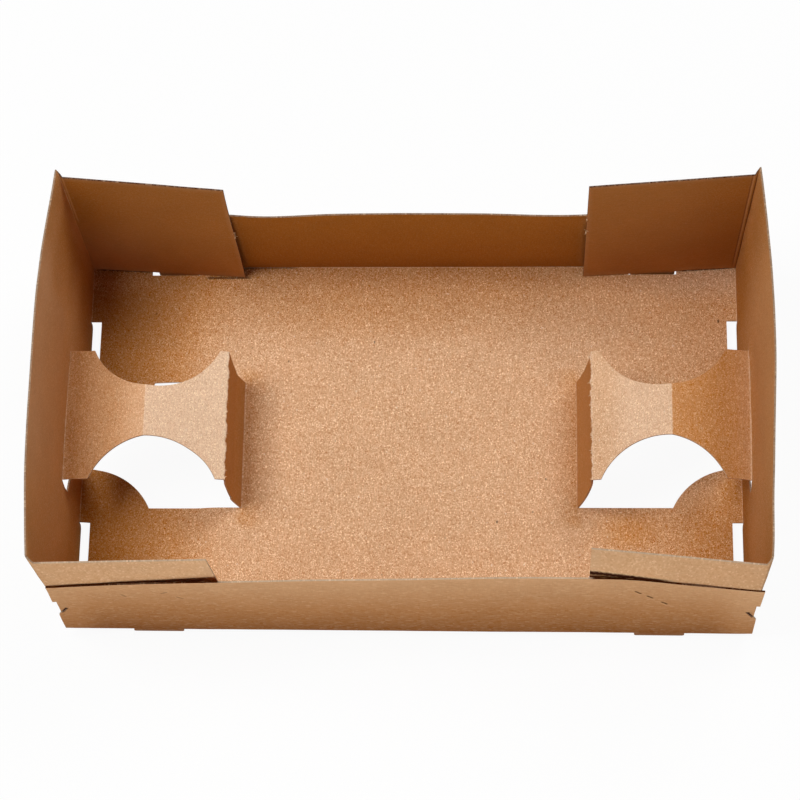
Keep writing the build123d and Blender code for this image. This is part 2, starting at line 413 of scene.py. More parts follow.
half_long = along(
    [
        (0, wall_foot_z), (long_slot[0], wall_foot_z), (long_slot[1], wall_foot_z), (floor_end, wall_foot_z),
        (hook_foot_x, wall_foot_z), (hook_foot_x, hook_z[0]), slit_mouth,
    ]
)
half_long += bowed(slit_mouth, slit_tip, slit_bow)[1:]
half_long += bowed(slit_tip, slit_back, -slit_bow)[1:]
half_long += along([slit_back, (slit_back[0], hook_z[1]), (hook_step_x, hook_z[1]), (long_reach, hook_top_z)])[1:]
half_long += along([(x, long_top_z - crown * (x / long_reach) ** 2) for x in np.arange(160, -1, -4.0)])


def long_height(flat):
    """Height of each point of the blank once the long wall stands."""
    return flat[:, 1] - floor_side - bend_run + wall_foot_z


def long_to_blank(points):
    return [(x, floor_side + bend_run + z - wall_foot_z) for x, z in points]


def fold_long(flat):
    x, z = flat[:, 0], long_height(flat)
    t = (z - wall_foot_z) / (long_top_z - wall_foot_z)
    bow = long_bow * (1 - (x / long_reach) ** 2)
    return np.column_stack([x, long_foot_y + t * (long_top_y - long_foot_y - bow), z])


long_flat, long_faces = cut_panel(long_to_blank(whole_loop(half_long)))
for side in (-1, 1):
    lay_in(long_flat, long_faces, fold_long, (1, side), mark=1)

# Lugs: where a slot is cut beside a crease, the board of the slot stays on the wall and stands
# below it. The side lugs are the feet of the tray.
foot_corner = 1.5
lug_z = 2.34
lug_step = 3.0


def fold_side_lug(flat):
    return np.column_stack([np.full(len(flat), band_foot[0][0]), flat[:, 1], side_height(flat)])


def fold_long_lug(flat):
    return np.column_stack([flat[:, 0], np.full(len(flat), long_foot_y), long_height(flat)])


for near, far in ((side_slot[0], side_slot[1]), (-side_slot[1], -side_slot[0])):
    foot_row = along([(side_slot[0], wall_foot_z), (side_slot[1], wall_foot_z)])
    foot_row = foot_row[::-1] if near > 0 else [(-w, z) for w, z in foot_row]
    lug = along([(near, 0), (far - foot_corner, 0), (far, foot_corner), (far, wall_foot_z)])
    lug += foot_row[1:] + along([(near, wall_foot_z), (near, 0)])[1:-1]
    flat, faces = cut_panel(to_blank(lug), step=lug_step)
    for side in (-1, 1):
        lay_in(flat, faces, fold_side_lug, (side, 1))

long_lug = along([(long_slot[0], wall_foot_z), (long_slot[1], wall_foot_z)])
long_lug += along(
    [
        (long_slot[1], wall_foot_z), (long_slot[1], lug_z + chamfer), (long_slot[1] - chamfer, lug_z),
        (long_slot[0] + chamfer, lug_z), (long_slot[0], lug_z + chamfer), (long_slot[0], wall_foot_z),
    ]
)[1:-1]
flat, faces = cut_panel(long_to_blank(long_lug), step=lug_step)
for mirror in quarters:
    lay_in(flat, faces, fold_long_lug, mirror, mark=1)

# Cup shelves: a strip of the floor and side wall, popped up into a riser and a shelf with a low
# ridge. Its two waisted sides leave room for round cups.
riser_chord = math.dist((riser_x, floor_z), riser_top)
riser_sag = 1.46
riser_length = riser_chord + 8 * riser_sag**2 / (3 * riser_chord)
inner_length = math.dist(riser_top, ridge)
outer_length = math.dist(ridge, shelf_end)
fold_runs = (0, riser_length, riser_length + inner_length, riser_length + inner_length + outer_length)
wall_lean = (band_top[0][0] - band_foot[0][0] + band_top[1]) / wall_height
meet_reach = 8                  # the last part of the shelf, which turns to meet the bowed wall
strip_end = riser_x + fold_runs[3] + fold_pull[3]
strip_step = 2.0


def sharp_strip(s):
    """The strip's side view with sharp folds: the bowed riser, the two shelf halves, the wall."""
    s = np.asarray(s, float)
    foot, top, peak, end = np.array([(riser_x, floor_z), riser_top, ridge, shelf_end])
    f = np.clip(s / riser_length, 0, 1)
    rise = top - foot
    sag = 4 * riser_sag * f * (1 - f) / riser_chord
    riser = foot + f[:, None] * rise + sag[:, None] * np.array((rise[1], -rise[0]))
    on_floor = np.column_stack([riser_x + s, np.full(len(s), floor_z)])
    inner = top + ((s - fold_runs[1]) / inner_length)[:, None] * (peak - top)
    outer = peak + ((s - fold_runs[2]) / outer_length)[:, None] * (end - peak)
    up = s - fold_runs[3]
    wall = np.column_stack([end[0] + up * wall_lean, end[1] + up])
    out = np.where((s < 0)[:, None], on_floor, riser)
    out = np.where((s > fold_runs[1])[:, None], inner, out)
    out = np.where((s > fold_runs[2])[:, None], outer, out)
    return np.where((s > fold_runs[3])[:, None], wall, out)


def rounded_strip(s):
    """The same side view with each fold rounded."""
    out = sharp_strip(s)
    for run, pull in zip(fold_runs, fold_pull):
        near = np.abs(s - run) < pull
        q = ((s[near] - run + pull) / (2 * pull))[:, None]
        a, v, b = sharp_strip([run - pull, run, run + pull])
        out[near] = (1 - q) ** 2 * a + 2 * q * (1 - q) * v + q**2 * b
    return out


def fold_strip(flat):
    """Stands the strip up, and turns its outer end to meet the bowed wall all along the fold."""
    s, v = flat[:, 0] - riser_x, flat[:, 1]
    side_view = rounded_strip(s)
    place = np.column_stack([side_view[:, 0], v, side_view[:, 1]])
    end_view = rounded_strip(np.array([fold_runs[3] + fold_pull[3]]))[0]
    meet = stand_side(v, np.full(len(v), notch_top_z)) - np.column_stack(
        [np.full(len(v), end_view[0]), v, np.full(len(v), end_view[1])]
    )
    f = np.clip((s - fold_runs[3] + meet_reach) / (meet_reach + fold_pull[3]), 0, 1)
    return place + (f * f * (3 - 2 * f))[:, None] * meet


def soft_fold(flat):
    s = flat[:, 0] - riser_x
    near = [np.clip(1 - np.abs(s - run) / (1.2 * pull), 0, 1) for run, pull in zip(fold_runs, fold_pull)]
    return np.max(near, axis=0)


waist_out = waist_start - waist_x
half_strip = along([(riser_start, -shelf_half), (waist_start, -shelf_half)], strip_step)
half_strip += arc((waist_x, -waist_y), waist_radius, waist_turn, waist_far_turn)[1:]
half_strip += along([(waist_x - waist_out, -shelf_half), (strip_end, -shelf_half)], strip_step)[1:]
end_row = along([(strip_end, 0), (strip_end, shelf_half)], strip_step)
start_row = along([(riser_start, 0), (riser_start, shelf_half)], strip_step)
strip_loop = half_strip + [(x, -y) for x, y in end_row[::-1]][1:] + end_row[1:]
strip_loop += [(x, -y) for x, y in half_strip[::-1]][1:]
strip_loop += start_row[::-1][1:] + [(x, -y) for x, y in start_row][1:-1]
across_strip = along([(0, -shelf_half), (0, 0), (0, shelf_half)], strip_step / 2)
strip_columns = []
for run, pull in zip(fold_runs, fold_pull):
    for i in range(9):
        x = riser_x + run - pull + 2 * pull * i / 8
        if riser_start + 1e-3 < x < strip_end - 1e-3:
            strip_columns.append([(x, y) for _, y in across_strip])

strip_flat, strip_faces = cut_panel(strip_loop, strip_columns, strip_step)
for side in (-1, 1):
    lay_in(strip_flat, strip_faces, fold_strip, (side, 1), soft_fold)

# The whole sheet: the panels are welded along their creases, the folded board settles into its
# slightly uneven shape, and the middle surface gets the board's thickness.
weld = 0.03
middle = bmesh.new()
kept_values = [middle.verts.layers.float.new(name) for name in ("blank_x", "blank_y", "crease", "panel")]
blank = np.concatenate(blank_points)
values = np.column_stack([blank, np.concatenate(soft_creases), np.concatenate(panel_marks)])
corners = []
for place, row in zip(np.concatenate(folded_points), values):
    v = middle.verts.new(place)
    for layer, value in zip(kept_values, row):
        v[layer] = value
    corners.append(v)
for a, b, c in np.concatenate(blank_faces):
    middle.faces.new((corners[a], corners[b], corners[c]))
bmesh.ops.remove_doubles(middle, verts=middle.verts, dist=weld)
loose = [v for v in middle.verts if not v.link_faces]
bmesh.ops.delete(middle, geom=loose, context="VERTS")
middle.verts.index_update()
middle.normal_update()

count = len(middle.verts)
spots = np.array([v.co for v in middle.verts])
normals = np.array([v.normal for v in middle.verts])
values = np.array([[v[layer] for layer in kept_values] for v in middle.verts])
flat_place, crease_mask, panel = values[:, :2], values[:, 2], np.rint(values[:, 3])
cut_mask = np.array([float(v.is_boundary) for v in middle.verts])
triangles = [tuple(v.index for v in f.verts) for f in middle.faces]
edge_loops = [e.link_loops[0] for e in middle.edges if e.is_boundary]
rims = [(loop.vert.index, loop.link_loop_next.vert.index) for loop in edge_loops]
middle.free()


def rising(value, start, end):
    """Smooth step from 0 at the start to 1 at the end."""
    f = np.clip((value - start) / (end - start), 0, 1)
    return f * f * (3 - 2 * f)


def falling(value, start, end):
    return 1 - rising(value, start, end)


def mound(value, middle, reach):
    """A soft hill of height 1 at the middle, gone at about twice the reach."""
    return np.exp(-((value - middle) / reach) ** 2)


# Folding leaves the tray a little out of true: each side wall bows and twists in its own way, the
# front wall's foot runs askew, its top and the back wall's dip inward, and each flap leans its own
# way. Each shift below is in millimetres, and fades out at the places that it names.
x, y, z = spots.T
across, deep = np.abs(x), np.abs(y)
left, right = x < 0, x > 0
height = np.clip((z - wall_foot_z) / wall_height, 0, 1)
low_height = np.clip((z - wall_foot_z) / (long_top_z - wall_foot_z), 0, 1)
on_base, on_long, on_band = panel == 0, panel == 1, panel == 2
front_wall, back_wall = on_long & (y < -80), on_long & (y > 80)
front_flap, back_flap = on_band & (y < -86), on_band & (y > 86)
shift = np.zeros_like(spots)
shift_x, shift_y, shift_z = shift.T

hold = np.where(on_band, 1, rising(across, 123, 160)) * ~on_long * height
shift_x -= 1.6 * hold * right * rising(-y, -25, 45) * (1 - 0.65 * rising(-y, 60, 92))
shift_x += hold * left * (1.2 * rising(y, 45, 88) - 0.75 * falling(y, 10, 50))
shift_y += (1 - x / 158) * rising(-y, 50, 88) * (1 - np.clip(z / long_top_z, 0, 1))
dips = 1.7 * mound(x, -68, 22) + 1.5 * mound(x, 75, 30) - 0.45 * mound(x, 0, 45)
shift_y -= dips * low_height * back_wall
dips = 0.2 * rising(-x, 40, 160) + 2.1 * mound(x, 75, 55) + 0.9 * mound(x, 104, 20)
shift_y += dips * low_height * front_wall
shift_z += 1.9 * rising(-x, 60, 160) * low_height * front_wall

run_in = np.clip((160 - across) / 76, 0, 1)
lean = np.where(right, 1.5 * height, -4.3 * np.clip((z - 66) / 42, 0, 1))
shift_y += front_flap * run_in * lean
lift = np.where(left, 0.9 - 2.9 * run_in, 0.8 - 0.55 * run_in)
shift_z += back_flap * rising(z, 60, 106) * lift
shift_x += back_flap * left * run_in * (0.4 - 1.6 * rising(z, 10, 100))
shift_y += 0.5 * on_band * rising(-y, 82, 90) * left * mound(z, 72, 30)

left_cup = left * rising(-x, 92, 104) * falling(-x, 150, 158) * falling(deep, 50, 60)
shift_y -= 0.5 * left_cup * on_base
shift_x += 0.5 * left * (z > 20) * rising(-x, 80, 84) * falling(-x, 92, 104) * on_base
by_gap = mound(across, 112, 16) * mound(y, 32, 7) * (z < 8) * on_base
shift_y += by_gap * np.where(left, 0.9, -1.2)
foot_in = mound(x, 81, 7) * falling(z, 25, 42) * falling(deep, 34, 44)
foot_in += mound(x, -83, 5) * mound(z, 18, 11) * (z > floor_z + 0.06)
shift_x -= 0.9 * foot_in * on_base
shift_x -= 0.8 * (mound(x, 161.5, 6) * mound(z, 45, 5) * falling(deep, 33, 45))
shift_y -= 1.8 * (on_band * mound(y, -32.2, 5) * falling(z, 40, 46) * rising(z, 22, 30))

hook_turn = rising(z, 45, 72) * rising(-x, 145, 160) - 0.8 * falling(z, 10, 45) * rising(-x, 100, 160)
shift_x += left * front_wall * hook_turn
shift_z -= 1.2 * rising(x, 135, 160) * low_height * front_wall
back_flap = back_flap & (across < 157)
shift_x += 2.4 * back_flap * (x > -130) * (x < -126) * (z < 6.5)
shift_z += 0.8 * back_flap * (across > 130) * falling(z, 6.4, 14)

# The side walls stop short of the carton that such a tray is packed in.
side_limit, side_give = 165.4, 0.84
spots = spots + shift
over = np.maximum(np.abs(spots[:, 0]) - side_limit, 0)
held_in = np.minimum(np.abs(spots[:, 0]), side_limit) + side_give * np.tanh(over / side_give)
spots[:, 0] = np.sign(x) * held_in

# Along the shelf folds the scored board cracks unevenly, and the whole sheet swells a little.
riser_fold = mound(across, riser_top[0], 1.5) * (z > 40) * on_base
wall_fold = mound(across, shelf_end[0], 1.8) * (z > 40) * (z < 48) * (deep < 33)
ragged = np.array([noise.noise(Vector((v / 2.6, 0.3 if u < 0 else 7.9, 1.2))) for u, v in flat_place])
spots[:, 0] += 0.75 * ragged * riser_fold
spots[:, 2] += 0.5 * ragged * wall_fold
swell = [
    noise.noise(Vector((u / 38, v / 38, 3.7))) + 0.4 * noise.noise(Vector((u / 13, v / 13, 9.1)))
    for u, v in flat_place
]
swell = 0.38 * np.array(swell) * rising(z, 3, 12) * (1 - 0.7 * cut_mask)
spots = spots + normals * swell[:, None]

inner = spots + normals * board / 2
outer = spots - normals * board / 2
points = np.clip(np.concatenate([inner, outer]) / 1000, np.array(cad_low), np.array(cad_high))
mesh_faces = triangles + [(a + count, c + count, b + count) for a, b, c in triangles]
mesh_faces += [(a + count, b + count, b, a) for a, b in rims]
tray_mesh = bpy.data.meshes.new("kraft_tray")
tray_mesh.from_pydata([tuple(p) for p in points], [], mesh_faces)
tray_mesh.update()
tray = put_in("kraft_tray", tray_mesh)

flat_map = tray_mesh.uv_layers.new(name="blank")
loop_points = np.empty(len(tray_mesh.loops), dtype=int)
tray_mesh.loops.foreach_get("vertex_index", loop_points)
flat_map.data.foreach_set("uv", flat_place[loop_points % count].ravel())

# Painted shade on the board, 0 for the kraft in full light and 1 for its deepest painted shade: least on the floor's
# middle and the inner halves of the shelves, and a deep fox brown up the walls and into the corners, where shade
# falls.
x, y, z = spots.T
across, deep = np.abs(x), np.abs(y)
left, right, at_back = x < 0, x > 0, y > 0
facing_side, facing_end = np.abs(normals[:, 0]), np.abs(normals[:, 1])
standing = falling(normals[:, 2], 0.3, 0.8)
shelf_z = 30

# The floor's painted shade deepens towards the left wall, the right wall and the back, where the walls' shadows
# fall.
to_left, to_right = rising(-x, 80, 152), rising(x, 70, 150)
to_back = rising(y, 46, 98) * (1 - 0.45 * rising(x, 40, 110))
floor_shade = 1 - 0.75 * (1 - 0.75 * to_left) * (1 - 0.14 * to_right) * (1 - 0.30 * to_back) * (
    1 - 0.06 * rising(-y, 20, 90)
)
# Painted shade in the floor's front right corner, a painted shadow beside each riser's foot, and painted shade near
# the shelves.
corner_right = rising(x, 115, 157) * rising(-y, 50, 90)
by_riser = mound(across, 80, 7) * (deep < 40) * (across < 81.5)
under_shelf = rising(across, 112, 150) * rising(-y, 20, 45) * falling(-y, 62, 92) * np.where(right, 0.7, 1)
floor_shade = np.clip(floor_shade + 0.3 * under_shelf + 0.25 * corner_right + 0.16 * by_riser, 0, 1)
# The painted shade is lifted near the back corners, and soft pools of painted light and shade are laid on the floor.
floor_shade -= 0.28 * rising(-x, 112, 140) * rising(y, 74, 86) + 0.20 * rising(x, 90, 145) * rising(y, 70, 88)
for (u, v), (wide, long), step in (
    ((-25, 66), (58, 13), 0.07), ((104, -44), (14, 11), 0.23), ((-140, -47), (14, 15), -0.20),
    ((154, -24), (5, 7), 0.38),
):
    floor_shade += step * np.exp(-((x - u) / wide) ** 2 - ((y - v) / long) ** 2)
floor_shade = np.clip(floor_shade, 0, 1)

# The shelves' inner halves, which face the light, get the least painted shade, and their outer halves more.
past_ridge = across > 123.2
shelf_shade = np.where(past_ridge, np.where(left, 0.41, 0.60), np.where(left, 0.0, 0.07))
shelf_shade += np.where(left, 0.08, -0.16) * rising(across, 146, 158)
shelf_shade -= past_ridge * np.where(left, 0.15, 0.10) * falling(across, 123.2, 142)
shelf_shade += 0.15 * right * ~past_ridge * falling(x, 90, 106)
level_shade = np.where(z > shelf_z, np.maximum(shelf_shade, 0), floor_shade)

# Painted shade on the inner faces of the walls: on the side walls deeper towards the back, the front and the foot,
# and deep on the risers, the long walls and the flaps.
on_side = rising(across, 150, 158) * falling(facing_end, 0.3, 0.7)
side_shade = 0.46 + 0.36 * rising(y, 40, 88) + 0.20 * rising(-y, 50, 92) + 0.28 * rising(-z, -75, -5)
side_shade += np.where(right, 0.03, 0.12 * rising(-y, 20, 80) - 0.08 * rising(y, 30, 70))
side_shade += 0.3 * rising(-z, -32, -6) * (y < -20)
side_shade += left * (
    0.12 * rising(-z, -45, -20) * rising(y, 0, 25) - 0.06 * rising(z, 75, 108) - 0.08 * rising(-y, 50, 90)
)
side_shade += 0.07 * right * rising(-y, 15, 60) * rising(z, 50, 100)
side_shade += 0.15 * left * rising(y, 38, 60) * falling(y, 78, 90) * rising(z, 42, 62) * falling(z, 86, 102)
side_shade = np.minimum(side_shade, np.where(left, 0.86, 0.90))
side_shade -= np.where(left, 0.24 * rising(y, 80, 91) * falling(z, 55, 80), 0.12 * rising(y, 76, 91))

riser_shade = np.where(left, 0.74, 0.65)
on_riser = (across < 100) * rising(facing_side, 0.6, 0.8)
by_flap = across > 83
long_shade = np.where(by_flap, 0.85, 0.96) + 0.1 * rising(across, 125, 158) - 0.05 * rising(-z, -40, -8) * by_flap
back_flap = on_band & (y > 80)
long_shade -= 0.32 * left * back_flap * rising(-x, 115, 150) * rising(-z, -75, -15)
long_shade -= back_flap * np.where(left, 0.13 * rising(-x, 125, 156) * rising(-z, -45, -8), 0.04)
wall_shade = np.where(on_side > 0, side_shade, np.where(on_riser > 0, riser_shade, long_shade))
inner_shade = np.clip(level_shade * (1 - standing) + wall_shade * standing, 0, 1)

# Painted shade on the outer faces: the long walls and the side walls darker towards their foot, the flaps dark below
# the height that light reaches past the long walls, and the undersides of the floor and the shelves in painted
# shade.
up = np.clip(z / 74, 0, 1)
long_outer = 0.98 - 0.81 * up**0.8 - 0.07 * (1 - (x / 162) ** 2) * up + 0.06 * rising(-x, 60, 150)
long_outer -= rising(across, 140, 156) * (np.where(right, 0.11, 0.05) + 0.18 * (1 - up))
lit_from = np.where(left, 64.5, 69 + 2.2 * falling(x, 92, 124))
flap_outer = 0.98 - 0.89 * rising(z, lit_from, lit_from + 3) - 0.09 * rising(-across, -150, -90) * (z > 72)
side_outer = 0.75 - 0.6 * rising(z, 0, 110)
outer_shade = np.where(on_long, long_outer, np.where(facing_end > 0.7, flap_outer, side_outer))
outer_shade = np.clip(np.where(normals[:, 2] > 0.7, 0.75, outer_shade), 0, 1)

# How worn each fold is, pale above 0; below 0 it is painted shade, which only the side bands' folded corners get.
# Painted shade along the corners' folds: deepest in the back right corner and fainter at the front, while the back
# left one turns paler near its top.
corner = (crease_mask < -0.5) & on_band
fold_shade = np.where(
    right, np.where(at_back, -1.0, -0.35), np.where(at_back, 0.5 * rising(z, 60, 85), -0.2)
)
crease_mask = np.where(corner, fold_shade, crease_mask)
shelf_wear = np.where(across < 95, 1.6, np.where(across > 150, 1.4, 0.4))
crease_mask = crease_mask * np.where(on_base & (z > 40), shelf_wear, 1)

# Painted shade on the board's core where a cut edge shows: cream on the lit shelves, darker up the walls, and nearly
# black on the front wall's rim beside the flaps and on the back flaps' edges, where the gaps are in shade.
edge_shade = np.where(z > shelf_z, 0.11, 0.31)
front_edge = 1.12 - 0.24 * mound(x, -118, 18) - 0.28 * mound(x, 136, 15)
front_edge = np.where((across > 84) & (z > 60), front_edge, 0.38)
edge_shade = np.where(on_long, np.where(at_back, 0.74, front_edge), edge_shade)
edge_shade = np.where(on_band, np.where(facing_end > 0.7, np.where(at_back, 0.92, 0.46), 0.66), edge_shade)

# How strongly the pulp's grit shows, painted to follow the light: most on the lit open floor, less where the floor's
# painted shade deepens, and least on the walls in shade.
level_grain = np.where(
    z > shelf_z, np.where(past_ridge, 0.55, 0.68), 1.0 - 0.66 * rising(floor_shade, 0.3, 0.95)
)
wall_grain = np.where(on_side > 0, np.where(right, 0.30, 0.20), np.where(on_riser > 0, 0.22, 0.10))
inner_grain = level_grain * (1 - standing) + wall_grain * standing
outer_grain = np.where(on_long, 0.17, np.where(z > 68, 0.28, 0.20))

for name, inner_values, outer_values in (
    ("painted_shade", inner_shade, outer_shade), ("grain", inner_grain, outer_grain), ("cut", cut_mask, cut_mask),
    ("crease", crease_mask, crease_mask), ("edge", edge_shade, edge_shade),
):
    layer = tray_mesh.attributes.new(name, "FLOAT", "POINT")
    layer.data.foreach_set("value", np.concatenate([inner_values, outer_values]).astype(np.float32))


def add_node(tree, kind, inputs=None, **settings):
    """Adds a node with its settings, and fills or links its inputs."""
    node = tree.nodes.new(kind)
    for name, value in settings.items():
        setattr(node, name, value)
    for name, value in (inputs or {}).items():
        if isinstance(value, bpy.types.NodeSocket):
            tree.links.new(value, node.inputs[name])
        else:
            node.inputs[name].default_value = value
    return node


def math_node(tree, operation, a, b=0.0, clamp=False):
    return add_node(tree, "ShaderNodeMath", {0: a, 1: b}, operation=operation, use_clamp=clamp).outputs[0]


def times(tree, a, b):
    return math_node(tree, "MULTIPLY", a, b)


def vector_node(tree, operation, a, b):
    second = "Scale" if operation == "SCALE" else 1
    return add_node(tree, "ShaderNodeVectorMath", {0: a, second: b}, operation=operation).outputs[0]


def noise_node(tree, place, scale, detail, roughness=0.5):
    inputs = {"Vector": place, "Scale": scale, "Detail": detail, "Roughness": roughness}
    return add_node(tree, "ShaderNodeTexNoise", inputs).outputs


def spread(tree, value, low, high, to_low=0.0, to_high=1.0):
    """Carries a value from one range to another."""
    inputs = {"Value": value, "From Min": low, "From Max": high, "To Min": to_low, "To Max": to_high}
    return add_node(tree, "ShaderNodeMapRange", inputs).outputs[0]


def blend_colour(tree, factor, a, b):
    node = add_node(tree, "ShaderNodeMix", data_type="RGBA")
    for socket, value in ((node.inputs[0], factor), (node.inputs[6], a), (node.inputs[7], b)):
        if isinstance(value, bpy.types.NodeSocket):
            tree.links.new(value, socket)
        else:
            socket.default_value = (*value, 1)
    return node.outputs[2]


def new_group(name, inputs, outputs):
    """A shared effect, with its named inputs and their kinds, and its outputs, which are values."""
    group = bpy.data.node_groups.new(name, "ShaderNodeTree")
    for title, kind in inputs.items():
        group.interface.new_socket(title, in_out="INPUT", socket_type="NodeSocket" + kind)
    for title in outputs:
        group.interface.new_socket(title, in_out="OUTPUT", socket_type="NodeSocketFloat")
    return group, group.nodes.new("NodeGroupInput").outputs, group.nodes.new("NodeGroupOutput").inputs


def place_group(tree, group, place, **values):
    """Puts a shared effect into a material, with the values that it has there."""
    node = add_node(tree, "ShaderNodeGroup", node_tree=group)
    tree.links.new(place, node.inputs["Place"])
    for title, value in values.items():
        node.inputs[title].default_value = value
    return node.outputs


def start_material(name, specular, roughness=0.9):
    material = bpy.data.materials.new(name)
    material.use_nodes = True
    shader = material.node_tree.nodes["Principled BSDF"]
    shader.inputs["Specular IOR Level"].default_value = specular
    shader.inputs["Roughness"].default_value = roughness
    return material, material.node_tree, shader


# Pulp of the kraft paper: grit of dark shives and bright specks, the bright ones partly pale fibre ends and partly
# painted glints of light, faint lengthwise streaks, and clouds
pulp, given, result = new_group(
    "kraft_pulp", {"Place": "Vector", "Stretch": "Vector", "Fineness": "Float"}, ("Grit", "Streak", "Cloud")
)
drawn = vector_node(pulp, "MULTIPLY", given["Place"], given["Stretch"])
ends = add_node(pulp, "ShaderNodeTexVoronoi", {"Vector": drawn, "Scale": given["Fineness"]}).outputs
chance = add_node(pulp, "ShaderNodeSeparateColor", {0: ends["Color"]}).outputs[0]
odd = spread(pulp, chance, 0.0, 1.0, -1.0, 1.0)
glints = math_node(pulp, "POWER", math_node(pulp, "MAXIMUM", odd, 0.0), 3.0)
shives = math_node(pulp, "POWER", math_node(pulp, "MAXIMUM", times(pulp, odd, -1.0), 0.0), 2.0)
odd = math_node(pulp, "SUBTRACT", times(pulp, glints, 1.55), times(pulp, shives, 0.8))
soft = spread(pulp, noise_node(pulp, drawn, 1.1, 2, 0.7)[0], 0.3, 0.7, -0.2, 0.2)
pulp.links.new(math_node(pulp, "ADD", odd, soft), result["Grit"])
lengthwise = vector_node(pulp, "MULTIPLY", given["Place"], (1.9, 0.16, 1))
streak = noise_node(pulp, lengthwise, 1.0, 3, 0.6)[0]
cloud = noise_node(pulp, given["Place"], 0.04, 4, 0.55)[0]
pulp.links.new(spread(pulp, streak, 0.3, 0.7, -0.5, 0.5), result["Streak"])
pulp.links.new(spread(pulp, cloud, 0.3, 0.7, -0.5, 0.5), result["Cloud"])

# Stray flecks: single dark shives and pale specks, the pale ones partly fibres and partly painted glints, thinly
# scattered over the sheet
flecks, given, result = new_group(
    "stray_flecks", {"Place": "Vector", "Spacing": "Float", "Share": "Float", "Size": "Float"}, ("Mask",)
)
wobble = vector_node(flecks, "MULTIPLY", noise_node(flecks, given["Place"], 0.9, 2)["Color"], (0.9, 0.9, 0.9))
moved = vector_node(flecks, "ADD", given["Place"], wobble)
scale = math_node(flecks, "DIVIDE", 1.0, given["Spacing"])
cells = add_node(flecks, "ShaderNodeTexVoronoi", {"Vector": moved, "Scale": scale}).outputs
chance = add_node(flecks, "ShaderNodeSeparateColor", {0: cells["Color"]}).outputs[0]
least = math_node(flecks, "SUBTRACT", 1.0, given["Share"])
reach = math_node(flecks, "DIVIDE", given["Size"], given["Spacing"])
chosen = math_node(flecks, "GREATER_THAN", chance, least)
radius = spread(flecks, chance, least, 1.0, times(flecks, reach, 0.45), reach)
shown = spread(flecks, cells["Distance"], times(flecks, radius, 0.6), radius, 1.0, 0.0)
flecks.links.new(times(flecks, shown, chosen), result["Mask"])

# A long soft stroke on the sheet, for painted shadows along gaps and in slits, and for painted highlights and
# painted shade at folds and dents
stroke, given, result = new_group(
    "painted_stroke",
    {"Place": "Vector", "Middle": "Vector", "Reach": "Float", "Breadth": "Float", "Turn": "Float"}, ("Mask",)
)
wander = vector_node(stroke, "ADD", noise_node(stroke, given["Place"], 0.7, 2)["Color"], (-0.5, -0.5, -0.5))
wander = vector_node(stroke, "SCALE", wander, given["Breadth"])
away = vector_node(stroke, "ADD", vector_node(stroke, "SUBTRACT", given["Place"], given["Middle"]), wander)
turned = add_node(
    stroke, "ShaderNodeVectorRotate", {"Vector": away, "Angle": times(stroke, given["Turn"], -1.0)},
    rotation_type="Z_AXIS"
)
lined = add_node(stroke, "ShaderNodeSeparateXYZ", {0: turned.outputs[0]}).outputs
off_end = math_node(stroke, "DIVIDE", math_node(stroke, "ABSOLUTE", lined[0]), given["Reach"])
off_side = math_node(stroke, "DIVIDE", math_node(stroke, "ABSOLUTE", lined[1]), given["Breadth"])
held = times(stroke, spread(stroke, off_end, 0.75, 1.0, 1.0, 0.0), spread(stroke, off_side, 0.4, 1.0, 1.0, 0.0))
stroke.links.new(held, result["Mask"])

board_specular = 0.03
grit_strength = 0.43


